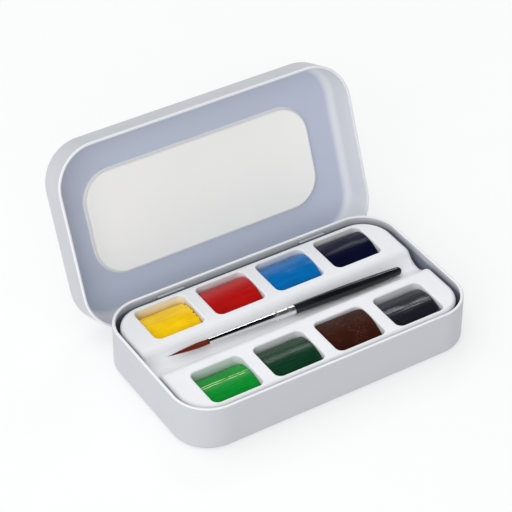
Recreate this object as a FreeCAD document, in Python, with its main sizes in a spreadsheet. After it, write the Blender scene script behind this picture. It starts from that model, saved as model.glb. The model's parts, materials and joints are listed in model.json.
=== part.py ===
# Watercolour pocket tin: a painted metal base and slip-over lid, a moulded tray with eight
# paint cakes and a travelling brush in its channel.
#
# Frame: origin at the centre of the base's underside, +X along the long side, +Y towards
# the hinge, +Z up. The lid is drawn closed, and its Placement opens it about the hinge pins.
import FreeCAD, Part
import math
import os

import Sketcher

Vector = FreeCAD.Vector
Rotation = FreeCAD.Rotation
Placement = FreeCAD.Placement

doc = FreeCAD.newDocument("WatercolourTin")
sheet = doc.addObject("Spreadsheet::Sheet", "Sizes")

# Driving dimensions in millimetres and degrees.
DIMENSIONS = (
    # base tin
    ("sheet_gauge", 0.5),
    ("base_length", 103.4),
    ("base_depth", 58.0),
    ("base_height", 16.0),
    ("base_corner", 12.5),
    ("base_foot_round", 1.6),
    ("hem_width", 1.1),
    ("hem_height", 1.1),
    ("hem_round", 0.45),
    ("lid_hem_round", 0.35),
    # lid tin
    ("lid_back_gap", 0.4),
    ("lid_front_gap", 0.95),
    ("lid_end_gap", 0.6),
    ("lid_hem", 0.9),
    ("lid_overlap", 11.1),
    ("lid_height", 12.8),
    ("lid_crown_round", 3.3),
    ("lid_open_angle", 111.5),
    ("panel_length", 82.0),
    ("panel_depth", 34.0),
    ("panel_corner", 10.0),
    ("panel_rise", 1.6),
    ("panel_round", 0.75),
    # hinge
    ("hinge_spacing", 52.6),
    ("pin_diameter", 0.55),
    ("pin_length", 12.4),
    ("clip_width", 9.6),
    ("clip_gauge", 0.3),
    ("clip_running_gap", 0.05),
    ("clip_lip_reach", 0.7),
    ("notch_gap", 0.4),
    # moulded tray
    ("tray_gap", 1.3),
    ("tray_floor_gap", 0.1),
    ("tray_drop", 1.2),
    ("tray_edge_round", 1.3),
    ("well_length", 17.5),
    ("well_depth", 15.4),
    ("well_corner", 2.2),
    ("well_pitch", 22.0),
    ("well_row_pitch", 34.0),
    ("well_sink", 7.6),
    ("well_floor", 1.0),
    ("well_edge_round", 0.5),
    ("channel_width", 13.6),
    ("channel_drop", 3.4),
    ("channel_trough", 5.7),
    ("rib_wall", 1.1),
    ("underside_roof", 1.1),
    # paint cakes
    ("cake_gap", 0.15),
    ("cake_crown_rise", 2.4),
    ("yellow_drop", 1.1),
    ("red_drop", 0.3),
    ("blue_drop", 0.2),
    ("indigo_drop", 0.3),
    ("light_green_drop", 1.2),
    ("dark_green_drop", 0.5),
    ("brown_drop", 0.0),
    ("black_drop", 0.7),
    # brush
    ("brush_offset", 1.0),
    ("brush_turn", -2.0),
    ("brush_tip_to_centre", 42.3),
    ("tuft_length", 14.3),
    ("tuft_root", 0.75),
    ("tuft_belly", 0.86),
    ("tuft_belly_place", 3.4),
    ("tuft_socket", 2.5),
    ("tuft_point", 2.0),
    ("tuft_point_radius", 0.2),
    ("socket_gap", 0.02),
    ("ferrule_length", 30.4),
    ("ferrule_gauge", 0.18),
    ("ferrule_back_radius", 1.5),
    ("crimp_radius", 0.3),
    ("crimp_stand", 0.13),
    ("crimp_first", 2.2),
    ("crimp_second", 6.4),
    ("handle_length", 39.6),
    ("handle_start", 1.55),
    ("handle_belly", 1.8),
    ("handle_belly_place", 17.0),
    ("handle_end", 1.35),
    ("handle_cap", 1.3),
    ("tang_length", 6.0),
    ("tang_step", 0.1),
)
for row, (alias, number) in enumerate(DIMENSIONS, start=1):
    sheet.set("A%d" % row, alias)
    sheet.set("B%d" % row, str(number))
    sheet.setAlias("B%d" % row, alias)
doc.recompute()


class Size:
    """A length from the sheet: its present value, and the expression that keeps it bound."""

    def __init__(self, text, value):
        self.text = text
        self.value = value

    def __add__(self, other):
        return Size("(%s + %s)" % (self.text, expression(other)), self.value + amount(other))

    def __sub__(self, other):
        return Size("(%s - %s)" % (self.text, expression(other)), self.value - amount(other))

    def __mul__(self, factor):
        return Size("(%s * %s)" % (self.text, expression(factor)), self.value * amount(factor))

    def __neg__(self):
        return Size("(0 - %s)" % self.text, -self.value)


def expression(item):
    return item.text if isinstance(item, Size) else "%.6f" % item


def amount(item):
    return item.value if isinstance(item, Size) else float(item)


def size(alias):
    return Size("Sizes.%s" % alias, float(getattr(sheet, alias)))


def bind(thing, prop, length):
    """Tie one property to the sheet."""
    if isinstance(length, Size):
        thing.setExpression(prop, length.text)
    else:
        setattr(thing, prop, length)


ZERO = Size("0", 0.0)
gauge = size("sheet_gauge")
half_length = size("base_length") * 0.5
half_depth = size("base_depth") * 0.5
height = size("base_height")
lid_hem = size("lid_hem")
lid_length = size("base_length") + size("lid_end_gap") * 2.0 + lid_hem * 2.0
lid_depth = size("base_depth") + size("lid_back_gap") + size("lid_front_gap") + lid_hem * 2.0
lid_middle = (size("lid_back_gap") - size("lid_front_gap")) * 0.5
lid_corner = size("base_corner") + size("lid_end_gap") + lid_hem
lid_rim = height - size("lid_overlap")
lid_top = lid_rim + size("lid_height")
axis_y = half_depth + size("lid_back_gap") + lid_hem * 0.5
axis_z = lid_rim + lid_hem * 0.5
hinge_reach = size("hinge_spacing") * 0.5
tray_inset = size("hem_width") + size("tray_gap")
tray_top = height - size("tray_drop")
tray_bottom = gauge + size("tray_floor_gap")
channel_floor = tray_top - size("channel_drop")
well_bottom = tray_top - size("well_sink")
SIDES = (("left", -1.0), ("right", 1.0))

# How far a cut runs past the metal it opens, and how near counts as touching.
OVERSHOOT = 1.0
TOUCH = 1e-4
# The margin allowed round a group of edges when they are picked by place.
MARGIN = 0.1
# A point on a turned piece's rounded cap, in shares of the cap's length and of its end radius.
CAP_BOW = (0.72, 0.66)


# ---- helpers for bodies, sketches and features ----


def add_body(label):
    body = doc.addObject("PartDesign::Body", label)
    body.Label = label
    return body


def add_sketch(body, name, role="XY_Plane", offset=ZERO):
    """A sketch on one of the body's own origin planes, lifted along the plane's normal."""
    sketch = body.newObject("Sketcher::SketchObject", name)
    plane = [item for item in body.Origin.OriginFeatures if item.Role == role][0]
    sketch.AttachmentSupport = [(plane, "")]
    sketch.MapMode = "FlatFace"
    sketch.AttachmentOffset = Placement(Vector(0, 0, offset.value), Rotation())
    sketch.setExpression("AttachmentOffset.Base.z", offset.text)
    return sketch


def constrain(sketch, *parts):
    """Add a constraint; a Size as its last part is kept bound to the sheet."""
    length = parts[-1]
    if not isinstance(length, Size):
        sketch.addConstraint(Sketcher.Constraint(*parts))
        return
    index = sketch.addConstraint(Sketcher.Constraint(*parts[:-1], length.value))
    sketch.setExpression("Constraints[%d]" % index, length.text)


def rounded_rectangle(sketch, length, depth, corner, cx=ZERO, cy=ZERO):
    """A rectangle with four equal corner arcs, centred at (cx, cy)."""
    hx, hy, r = length.value / 2, depth.value / 2, corner.value
    x, y = cx.value, cy.value
    normal = Vector(0, 0, 1)
    first = sketch.GeometryCount
    corners = ((hx - r, -hy + r, -90), (hx - r, hy - r, 0), (-hx + r, hy - r, 90), (-hx + r, -hy + r, 180))
    for dx, dy, start in corners:
        circle = Part.Circle(Vector(x + dx, y + dy, 0), normal, r)
        arc = Part.ArcOfCircle(circle, math.radians(start), math.radians(start + 90))
        sketch.addGeometry(arc)
    ends = (
        ((hx, -hy + r), (hx, hy - r)),
        ((hx - r, hy), (-hx + r, hy)),
        ((-hx, hy - r), (-hx, -hy + r)),
        ((-hx + r, -hy), (hx - r, -hy)),
    )
    for (ax, ay), (bx, by) in ends:
        sketch.addGeometry(Part.LineSegment(Vector(x + ax, y + ay, 0), Vector(x + bx, y + by, 0)))
    for step in range(4):
        arc = first + step
        line = first + 4 + step
        following = first + (step + 1) % 4
        sketch.addConstraint(Sketcher.Constraint("Tangent", arc, 2, line, 1))
        sketch.addConstraint(Sketcher.Constraint("Tangent", line, 2, following, 1))
    for step in range(1, 4):
        sketch.addConstraint(Sketcher.Constraint("Equal", first, first + step))
    sketch.addConstraint(Sketcher.Constraint("Vertical", first + 4))
    sketch.addConstraint(Sketcher.Constraint("Horizontal", first + 5))
    constrain(sketch, "Radius", first, corner)
    constrain(sketch, "DistanceX", first + 3, 3, first, 3, length - corner * 2.0)
    constrain(sketch, "DistanceY", first, 3, first + 1, 3, depth - corner * 2.0)
    constrain(sketch, "DistanceX", -1, 1, first, 3, cx + length * 0.5 - corner)
    constrain(sketch, "DistanceY", -1, 1, first + 1, 3, cy + depth * 0.5 - corner)


def rectangle(sketch, x_low, x_high, y_low, y_high):
    """A plain rectangle between two corners."""
    points = (
        Vector(x_low.value, y_low.value, 0),
        Vector(x_high.value, y_low.value, 0),
        Vector(x_high.value, y_high.value, 0),
        Vector(x_low.value, y_high.value, 0),
    )
    first = sketch.GeometryCount
    for step in range(4):
        sketch.addGeometry(Part.LineSegment(points[step], points[(step + 1) % 4]))
    for step in range(4):
        following = first + (step + 1) % 4
        sketch.addConstraint(Sketcher.Constraint("Coincident", first + step, 2, following, 1))
        kind = "Horizontal" if step % 2 == 0 else "Vertical"
        sketch.addConstraint(Sketcher.Constraint(kind, first + step))
    constrain(sketch, "DistanceX", -1, 1, first, 1, x_low)
    constrain(sketch, "DistanceY", -1, 1, first, 1, y_low)
    constrain(sketch, "DistanceX", -1, 1, first + 1, 2, x_high)
    constrain(sketch, "DistanceY", -1, 1, first + 1, 2, y_high)


def extrude(body, kind, sketch, length, reverse=False, midplane=False):
    """A Pad or a Pocket; a Pocket that removes nothing is an error."""
    before = body.Shape.Volume if kind == "Pocket" else 0.0
    feature = body.newObject("PartDesign::" + kind, kind + "_" + sketch.Name)
    feature.Profile = sketch
    feature.Length = length.value
    bind(feature, "Length", length)
    feature.Reversed = reverse
    feature.Midplane = midplane
    doc.recompute()
    if kind == "Pocket" and body.Shape.Volume > before - 1e-6:
        raise RuntimeError(sketch.Name + " cuts nothing")
    return feature


def level_edges(shape, z, low=None, high=None):
    """Names of the edges that lie at height z, optionally only those in a box of x and y."""
    names = []
    for index, edge in enumerate(shape.Edges, start=1):
        box = edge.BoundBox
        if abs(box.ZMin - z) > TOUCH or abs(box.ZMax - z) > TOUCH:
            continue
        if low is not None and (box.XMin < low[0] or box.YMin < low[1]):
            continue
        if high is not None and (box.XMax > high[0] or box.YMax > high[1]):
            continue
        names.append("Edge%d" % index)
    return names


def round_edges(body, base, names, radius):
    fillet = body.newObject("PartDesign::Fillet", "Round_" + base.Name)
    fillet.Base = (base, names)
    fillet.Radius = radius.value
    bind(fillet, "Radius", radius)
    doc.recompute()
    return fillet


def outline(body, name, offset, inset, length, depth, corner, middle=ZERO):
    """A sketch of a tin outline about y = middle, drawn in from the given size by inset."""
    sketch = add_sketch(body, name, "XY_Plane", offset)
    rounded_rectangle(
        sketch, length - inset * 2.0, depth - inset * 2.0, corner - inset, ZERO, middle
    )
    return sketch


def add_inner_outline(sketch, width, length, depth, corner, middle=ZERO):
    """Make a band of a tin outline by adding the same outline, drawn in by width."""
    rounded_rectangle(sketch, length - width * 2.0, depth - width * 2.0, corner - width, ZERO, middle)


# ---- base tin ----


def make_base():
    """Drawn tin with a rolled hem inside its rim and two slots low in the back wall."""
    body = add_body("base_tin")
    plan = (size("base_length"), size("base_depth"), size("base_corner"))
    extrude(body, "Pad", outline(body, "base_outline", ZERO, ZERO, *plan), height)
    hollow = extrude(
        body, "Pocket", outline(body, "base_hollow", height, gauge, *plan), height - gauge
    )
    inside = round_edges(
        body, hollow, level_edges(hollow.Shape, gauge.value), size("base_foot_round") - gauge
    )
    round_edges(body, inside, level_edges(inside.Shape, 0.0), size("base_foot_round"))
    hem = outline(body, "base_hem", height - size("hem_height"), ZERO, *plan)
    add_inner_outline(hem, size("hem_width"), *plan)
    rim = extrude(body, "Pad", hem, size("hem_height"))
    round_edges(body, rim, level_edges(rim.Shape, height.value), size("hem_round"))
    slots = add_sketch(body, "clip_slots", "XZ_Plane")
    half_slot = size("clip_width") * 0.5 + size("notch_gap") * 0.5
    for _, side in SIDES:
        centre = hinge_reach * side
        leg_top = axis_z - size("pin_diameter") * 0.5 + size("clip_gauge")
        leg_bottom = axis_z - size("pin_diameter") * 0.5 - size("clip_gauge") * 2.0
        rectangle(slots, centre - half_slot, centre + half_slot, leg_bottom, leg_top)
    extrude(body, "Pocket", slots, half_depth + OVERSHOOT)
    return body


# ---- lid tin ----


def opened():
    """The Placement that swings a closed lid piece open about the hinge pins."""
    pivot = Vector(0, axis_y.value, axis_z.value)
    turn = Rotation(Vector(1, 0, 0), -size("lid_open_angle").value)
    return Placement(pivot, Rotation()).multiply(
        Placement(Vector(0, 0, 0), turn).multiply(Placement(-pivot, Rotation()))
    )


def press_panel(body, ceiling):
    """The pressed panel: a flat step towards the paints, dished outside, soft at every bend."""
    plan = (size("panel_length"), size("panel_depth"), size("panel_corner"), lid_middle)
    boss = extrude(
        body,
        "Pad",
        outline(body, "panel_inside", ceiling, ZERO, *plan),
        size("panel_rise"),
        reverse=True,
    )
    low = (-plan[0].value * 0.5 - MARGIN, -plan[1].value * 0.5 - OVERSHOOT)
    high = (-low[0], -low[1])
    face = ceiling - size("panel_rise")
    foot = level_edges(boss.Shape, ceiling.value, low, high)
    bend = size("panel_round")
    round_edges(body, boss, level_edges(boss.Shape, face.value) + foot, bend)
    dish = extrude(
        body, "Pocket", outline(body, "panel_outside", lid_top, gauge, *plan), size("panel_rise")
    )
    rim = round_edges(body, dish, level_edges(dish.Shape, lid_top.value, low, high), bend + gauge)
    bed = (face + gauge).value
    round_edges(body, rim, level_edges(rim.Shape, bed, low, high), bend - gauge)


def make_lid():
    """Slip-over lid: rolled hem, rounded crown, and a panel pressed in towards the paints."""
    body = add_body("lid_tin")
    plan = (lid_length, lid_depth, lid_corner, lid_middle)
    extrude(body, "Pad", outline(body, "lid_outline", lid_rim, ZERO, *plan), size("lid_height"))
    hollow = extrude(
        body,
        "Pocket",
        outline(body, "lid_hollow", lid_rim, gauge, *plan),
        size("lid_height") - gauge,
        reverse=True,
    )
    ceiling = lid_top - gauge
    inside = round_edges(
        body, hollow, level_edges(hollow.Shape, ceiling.value), size("lid_crown_round") - gauge
    )
    round_edges(body, inside, level_edges(inside.Shape, lid_top.value), size("lid_crown_round"))
    press_panel(body, ceiling)
    hem = outline(body, "lid_hem_ring", lid_rim, ZERO, *plan)
    add_inner_outline(hem, lid_hem, *plan)
    rim = extrude(body, "Pad", hem, lid_hem)
    round_edges(body, rim, level_edges(rim.Shape, lid_rim.value), size("lid_hem_round"))
    notches = add_sketch(body, "clip_notches", "XZ_Plane")
    half_notch = size("clip_width") * 0.5 + size("notch_gap")
    notch_top = axis_z + size("pin_diameter") * 0.5 + size("clip_gauge") + size("notch_gap")
    for _, side in SIDES:
        centre = hinge_reach * side
        rectangle(notches, centre - half_notch, centre + half_notch, lid_rim - OVERSHOOT, notch_top)
    extrude(body, "Pocket", notches, lid_depth)
    for name, side in SIDES:
        bore = add_sketch(body, "pin_bore_" + name, "YZ_Plane", hinge_reach * side)
        circle(bore, axis_y, axis_z, size("pin_diameter") * 0.5)
        extrude(body, "Pocket", bore, size("pin_length"), midplane=True)
    body.Placement = opened()
    return body


def circle(sketch, x, y, radius):
    """A circle placed by its centre and radius."""
    index = sketch.addGeometry(Part.Circle(Vector(x.value, y.value, 0), Vector(0, 0, 1), radius.value))
    constrain(sketch, "Radius", index, radius)
    constrain(sketch, "DistanceX", -1, 1, index, 3, x)
    constrain(sketch, "DistanceY", -1, 1, index, 3, y)


# ---- hinge ----


def along_x(kind, name, x, y, z):
    """A Part primitive whose own Z axis is laid along +X, starting at (x, y, z)."""
    item = doc.addObject("Part::" + kind, name)
    item.Placement = Placement(Vector(x.value, y.value, z.value), Rotation(Vector(0, 1, 0), 90))
    item.setExpression("Placement.Base.x", x.text)
    item.setExpression("Placement.Base.y", y.text)
    item.setExpression("Placement.Base.z", z.text)
    return item


def block(name, low, high):
    """A Part box between two corners given as Sizes."""
    item = doc.addObject("Part::Box", name)
    for axis, prop, start, end in zip("xyz", ("Length", "Width", "Height"), low, high):
        bind(item, prop, end - start)
        item.setExpression("Placement.Base." + axis, start.text)
    return item


def make_clip(name, side):
    """Hinge clip: a curl round the pin, a leg through the slot, and a strap up the wall."""
    width = size("clip_width")
    thick = size("clip_gauge")
    start = hinge_reach * side - width * 0.5
    inner = size("pin_diameter") * 0.5 + size("clip_running_gap")
    outer = inner + thick
    curl = along_x("Cylinder", "curl_" + name, start, axis_y, axis_z)
    bind(curl, "Radius", outer)
    bind(curl, "Height", width)
    strap_y = half_depth - gauge - thick
    leg = block(
        "leg_" + name,
        (start, strap_y, axis_z - outer),
        (start + width, axis_y, axis_z - inner),
    )
    strap_top = height - size("hem_height") - thick * 2.0
    strap = block(
        "strap_" + name,
        (start, strap_y, axis_z - outer),
        (start + width, strap_y + thick, strap_top),
    )
    lip_y = half_depth - size("hem_width") - size("clip_lip_reach")
    lip = block(
        "lip_" + name,
        (start, lip_y + thick, strap_top - thick * 2.0),
        (start + width, strap_y + thick, strap_top),
    )
    nose = along_x("Cylinder", "nose_" + name, start, lip_y + thick, strap_top - thick)
    bind(nose, "Radius", thick)
    bind(nose, "Height", width)
    whole = doc.addObject("Part::MultiFuse", "clip_metal_" + name)
    whole.Shapes = [curl, leg, strap, lip, nose]
    bore = along_x("Cylinder", "clip_bore_" + name, start - OVERSHOOT, axis_y, axis_z)
    bind(bore, "Radius", inner)
    bind(bore, "Height", width + OVERSHOOT * 2.0)
    clip = doc.addObject("Part::Cut", "hinge_clip_" + name)
    clip.Label = "hinge_clip_" + name
    clip.Base = whole
    clip.Tool = bore
    return clip


def make_pin(name, side):
    """Short wire pin held in the lid's hem at both ends."""
    length = size("pin_length")
    pin = along_x("Cylinder", "hinge_pin_" + name, hinge_reach * side - length * 0.5, axis_y, axis_z)
    pin.Label = "hinge_pin_" + name
    bind(pin, "Radius", size("pin_diameter") * 0.5)
    bind(pin, "Height", length)
    return pin


# ---- moulded tray ----


def channel_profile(sketch):
    """The brush channel's section: two shoulder arcs and a trough arc, all tangent."""
    width = size("channel_width")
    drop = size("channel_drop")
    half = width.value / 2.0
    both = (half**2 + drop.value**2) / (2.0 * drop.value)
    trough_radius = size("channel_trough").value
    shoulder_radius = both - trough_radius
    slope = math.asin(half / both)
    deck = tray_top.value
    normal = Vector(0, 0, 1)
    quarter = math.pi / 2.0
    shoulder_low = Part.Circle(Vector(-half, deck - shoulder_radius, 0), normal, shoulder_radius)
    shoulder_high = Part.Circle(Vector(half, deck - shoulder_radius, 0), normal, shoulder_radius)
    trough = Part.Circle(Vector(0, deck - drop.value + trough_radius, 0), normal, trough_radius)
    sketch.addGeometry(Part.ArcOfCircle(shoulder_low, quarter - slope, quarter))
    sketch.addGeometry(Part.ArcOfCircle(trough, 3 * quarter - slope, 3 * quarter + slope))
    sketch.addGeometry(Part.ArcOfCircle(shoulder_high, quarter, quarter + slope))
    roof = deck + drop.value
    corners = (Vector(half, deck, 0), Vector(half, roof, 0), Vector(-half, roof, 0), Vector(-half, deck, 0))
    for start, end in zip(corners, corners[1:]):
        sketch.addGeometry(Part.LineSegment(start, end))
    for parts in (
        ("Tangent", 0, 1, 1, 1),
        ("Tangent", 1, 2, 2, 2),
        ("Equal", 0, 2),
        ("Vertical", 0, 3, 0, 2),
        ("Vertical", 2, 3, 2, 1),
        ("Coincident", 2, 1, 3, 1),
        ("Coincident", 3, 2, 4, 1),
        ("Coincident", 4, 2, 5, 1),
        ("Coincident", 5, 2, 0, 2),
        ("Vertical", 3),
        ("Horizontal", 4),
        ("Vertical", 5),
        ("PointOnObject", 1, 3, -2),
    ):
        sketch.addConstraint(Sketcher.Constraint(*parts))
    constrain(sketch, "DistanceX", 0, 2, 2, 1, width)
    constrain(sketch, "DistanceY", -1, 1, 2, 1, tray_top)
    constrain(sketch, "DistanceY", 3, 1, 3, 2, drop)
    constrain(sketch, "DistanceY", 1, 3, 4, 1, drop * 2.0 - size("channel_trough"))
    constrain(sketch, "Radius", 1, size("channel_trough"))


def row_length():
    return size("well_pitch") * 3.0 + size("well_length")


def make_tray():
    """Moulded insert: eight wells in two rows, a brush channel between, cored underneath."""
    body = add_body("insert_tray")
    plan = (size("base_length"), size("base_depth"), size("base_corner"))
    sketch = outline(body, "tray_outline", tray_bottom, tray_inset, *plan)
    extrude(body, "Pad", sketch, tray_top - tray_bottom)
    wells = add_sketch(body, "well_pair", "XY_Plane", tray_top)
    first_x = size("well_pitch") * -1.5
    for side in (-1.0, 1.0):
        rounded_rectangle(
            wells,
            size("well_length"),
            size("well_depth"),
            size("well_corner"),
            first_x,
            size("well_row_pitch") * (0.5 * side),
        )
    pair = extrude(body, "Pocket", wells, tray_top - well_bottom)
    rows = body.newObject("PartDesign::LinearPattern", "well_rows")
    rows.Originals = [pair]
    rows.Direction = (wells, ["H_Axis"])
    rows.Mode = "Extent"
    rows.Length = size("well_pitch").value * 3.0
    rows.setExpression("Length", (size("well_pitch") * 3.0).text)
    rows.Occurrences = 4
    body.Tip = rows
    doc.recompute()
    channel = add_sketch(body, "brush_channel", "YZ_Plane")
    channel_profile(channel)
    cut = extrude(body, "Pocket", channel, size("base_length") + OVERSHOOT * 2.0, midplane=True)
    well_high = (size("well_row_pitch") + size("well_depth")) * 0.5
    well_low = (size("well_row_pitch") - size("well_depth")) * 0.5
    mouths = []
    rim = []
    end_face = half_length.value - tray_inset.value
    for index, edge in enumerate(cut.Shape.Edges, start=1):
        box = edge.BoundBox
        flat_deck = box.ZMin > tray_top.value - TOUCH
        past_row = abs(box.Center.x) > row_length().value / 2.0 + MARGIN
        past_bank = abs(box.Center.y) > well_high.value + MARGIN
        at_end = min(abs(box.XMin), abs(box.XMax)) > end_face - TOUCH
        if flat_deck and (past_bank or past_row) and not is_straight_cross(edge, end_face):
            rim.append("Edge%d" % index)
        elif at_end and box.ZMin > channel_floor.value - MARGIN:
            mouths.append("Edge%d" % index)
    soft = round_edges(body, cut, rim + mouths, size("tray_edge_round"))
    lips = []
    reach_x = row_length().value / 2.0 + MARGIN
    for index, edge in enumerate(soft.Shape.Edges, start=1):
        box = edge.BoundBox
        inside = max(abs(box.XMin), abs(box.XMax)) < reach_x
        banked = min(abs(box.YMin), abs(box.YMax)) > size("channel_width").value / 2.0 + MARGIN
        if box.ZMin > tray_top.value - TOUCH and inside and banked:
            lips.append("Edge%d" % index)
    soft = round_edges(body, soft, lips, size("well_edge_round"))
    wall = size("rib_wall")
    skirt = outline(body, "underside_hollow", tray_bottom, tray_inset + wall, *plan)
    extrude(body, "Pocket", skirt, well_bottom - size("well_floor") - tray_bottom, reverse=True)
    core = add_sketch(body, "underside_cores", "XY_Plane", tray_bottom)
    rectangle(core, -row_length() * 0.5, row_length() * 0.5, -(well_low - wall), well_low - wall)
    end_low = row_length() * 0.5 + wall
    end_high = half_length - tray_inset - wall
    end_reach = half_depth - size("base_corner")
    rectangle(core, end_low, end_high, -end_reach, end_reach)
    rectangle(core, -end_high, -end_low, -end_reach, end_reach)
    slot_half = (size("well_pitch") - size("well_length")) * 0.5 - wall
    for place in (-1.0, 0.0, 1.0):
        middle = size("well_pitch") * place
        rectangle(core, middle - slot_half, middle + slot_half, well_low, well_high)
        rectangle(core, middle - slot_half, middle + slot_half, -well_high, -well_low)
    depth = channel_floor - size("underside_roof") - tray_bottom
    extrude(body, "Pocket", core, depth, reverse=True)
    return body


def is_straight_cross(edge, end_face):
    """True for a deck edge that runs along the channel's shoulder, not round the tray."""
    box = edge.BoundBox
    return box.XLength > 2 * end_face - MARGIN and abs(box.Center.y) < size("channel_width").value


# ---- paint cakes ----


def make_cake(colour, column, row):
    """A poured cake: straight sides, and a top that crowns across the pan."""
    body = add_body("cake_" + colour)
    gap = size("cake_gap")
    half = size("well_depth") * 0.5 - gap
    rise = size("cake_crown_rise")
    top = tray_top - size(colour + "_drop")
    shoulder = top - rise
    sketch = add_sketch(body, "cake_side_" + colour, "YZ_Plane")
    left = Vector(-half.value, shoulder.value, 0)
    right = Vector(half.value, shoulder.value, 0)
    base_right = Vector(half.value, well_bottom.value, 0)
    base_left = Vector(-half.value, well_bottom.value, 0)
    crown = Part.Arc(right, Vector(0, top.value, 0), left)
    sketch.addGeometry(crown)
    sketch.addGeometry(Part.LineSegment(left, base_left))
    sketch.addGeometry(Part.LineSegment(base_left, base_right))
    sketch.addGeometry(Part.LineSegment(base_right, right))
    for parts in (
        ("Coincident", 0, 2, 1, 1),
        ("Coincident", 1, 2, 2, 1),
        ("Coincident", 2, 2, 3, 1),
        ("Coincident", 3, 2, 0, 1),
        ("Vertical", 1),
        ("Horizontal", 2),
        ("Vertical", 3),
        ("PointOnObject", 0, 3, -2),
    ):
        sketch.addConstraint(Sketcher.Constraint(*parts))
    constrain(sketch, "DistanceY", -1, 1, 2, 1, well_bottom)
    constrain(sketch, "DistanceX", 2, 1, 2, 2, half * 2.0)
    constrain(sketch, "DistanceY", 2, 2, 3, 2, shoulder - well_bottom)
    constrain(sketch, "Radius", 0, crown_radius(half, rise))
    pad = extrude(body, "Pad", sketch, size("well_length") - gap * 2.0, midplane=True)
    upright = []
    for index, edge in enumerate(pad.Shape.Edges, start=1):
        box = edge.BoundBox
        if box.XLength < TOUCH and box.YLength < TOUCH:
            upright.append("Edge%d" % index)
    round_edges(body, pad, upright, size("well_corner") - gap)
    x = size("well_pitch") * (column - 1.5)
    y = size("well_row_pitch") * (0.5 * row)
    body.Placement = Placement(Vector(x.value, y.value, 0), Rotation())
    body.setExpression("Placement.Base.x", x.text)
    body.setExpression("Placement.Base.y", y.text)
    return body


def crown_radius(half, rise):
    """Radius of an arc from its half chord and its rise."""
    value = (half.value**2 + rise.value**2) / (2.0 * rise.value)
    text = "((%s ^ 2 + %s ^ 2) / (2 * %s))" % (half.text, rise.text, rise.text)
    return Size(text, value)


# ---- brush ----


def laid_in_channel():
    """The Placement of the brush: its axis runs along the trough, a touch askew."""
    rest = channel_floor.value + size("handle_belly").value + size("tray_floor_gap").value
    spot = Vector(0, size("brush_offset").value, rest)
    return Placement(spot, Rotation(Vector(0, 0, 1), size("brush_turn").value))


def brush_start():
    return -size("brush_tip_to_centre")


def spindle(label, start, first, belly_at, belly, end_at, end, cap):
    """A turned piece on the X axis: it swells from first to belly and falls to end and cap."""
    body = add_body(label)
    sketch = add_sketch(body, "profile_" + label, "XZ_Plane")
    left = Vector(start.value, first.value, 0)
    crest = Vector(belly_at.value, belly.value, 0)
    right = Vector(end_at.value, end.value, 0)
    rise_centre = arc_centre(left, crest)
    fall_centre = arc_centre(right, crest)
    sketch.addGeometry(turned_arc(rise_centre, crest, left))
    sketch.addGeometry(turned_arc(fall_centre, right, crest))
    tip = Vector(end_at.value + cap.value, 0, 0)
    bow = Vector(end_at.value + cap.value * CAP_BOW[0], end.value * CAP_BOW[1], 0)
    sketch.addGeometry(Part.Arc(tip, bow, right))
    sketch.addGeometry(Part.LineSegment(tip, Vector(start.value, 0, 0)))
    sketch.addGeometry(Part.LineSegment(Vector(start.value, 0, 0), left))
    for parts in (
        ("Coincident", 0, 1, 1, 2),
        ("Coincident", 1, 1, 2, 2),
        ("Coincident", 2, 1, 3, 1),
        ("Coincident", 3, 2, 4, 1),
        ("Coincident", 4, 2, 0, 2),
        ("PointOnObject", 3, 1, -1),
        ("PointOnObject", 3, 2, -1),
        ("Vertical", 4),
        ("Vertical", 0, 3, 0, 1),
        ("Vertical", 1, 3, 1, 2),
    ):
        sketch.addConstraint(Sketcher.Constraint(*parts))
    constrain(sketch, "DistanceX", -1, 1, 4, 1, start)
    constrain(sketch, "DistanceY", -1, 1, 4, 2, first)
    constrain(sketch, "DistanceX", -1, 1, 0, 1, belly_at)
    constrain(sketch, "DistanceY", -1, 1, 0, 1, belly)
    constrain(sketch, "DistanceX", -1, 1, 1, 1, end_at)
    constrain(sketch, "DistanceY", -1, 1, 1, 1, end)
    constrain(sketch, "DistanceX", -1, 1, 3, 1, end_at + cap)
    turn = body.newObject("PartDesign::Revolution", "turned_" + label)
    turn.Profile = sketch
    turn.ReferenceAxis = (sketch, ["H_Axis"])
    turn.Angle = 360
    doc.recompute()
    body.Placement = laid_in_channel()
    return body


def arc_centre(foot, crest):
    """Centre, straight below the crest, of the arc from the crest to the foot."""
    run = crest.x - foot.x
    fall = crest.y - foot.y
    radius = (run * run + fall * fall) / (2.0 * fall)
    return Vector(crest.x, crest.y - radius, 0)


def turned_arc(centre, start, end):
    """The short arc about centre, anticlockwise from start to end."""
    radius = start.distanceToPoint(centre)
    first = math.atan2(start.y - centre.y, start.x - centre.x)
    last = math.atan2(end.y - centre.y, end.x - centre.x)
    return Part.ArcOfCircle(Part.Circle(centre, Vector(0, 0, 1), radius), first, last)


def make_tuft():
    """Pointed hair tuft, its root held in the ferrule; drawn root first, then turned about."""
    mouth = -brush_start() - size("tuft_length")
    tuft = spindle(
        "brush_tuft",
        mouth,
        size("tuft_root"),
        mouth + size("tuft_belly_place"),
        size("tuft_belly"),
        -brush_start() - size("tuft_point"),
        size("tuft_point_radius"),
        size("tuft_point"),
    )
    add_root(tuft, mouth, size("tuft_root"), size("tuft_socket"))
    about = Placement(Vector(0, 0, 0), Rotation(Vector(0, 0, 1), 180))
    tuft.Placement = laid_in_channel().multiply(about)
    return tuft


def add_root(body, start, radius, length):
    """A plain cylinder behind a turned piece, which its ferrule grips."""
    section = add_sketch(body, "root_of_" + body.Label, "YZ_Plane", start)
    circle(section, ZERO, ZERO, radius)
    extrude(body, "Pad", section, length, reverse=True)


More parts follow.
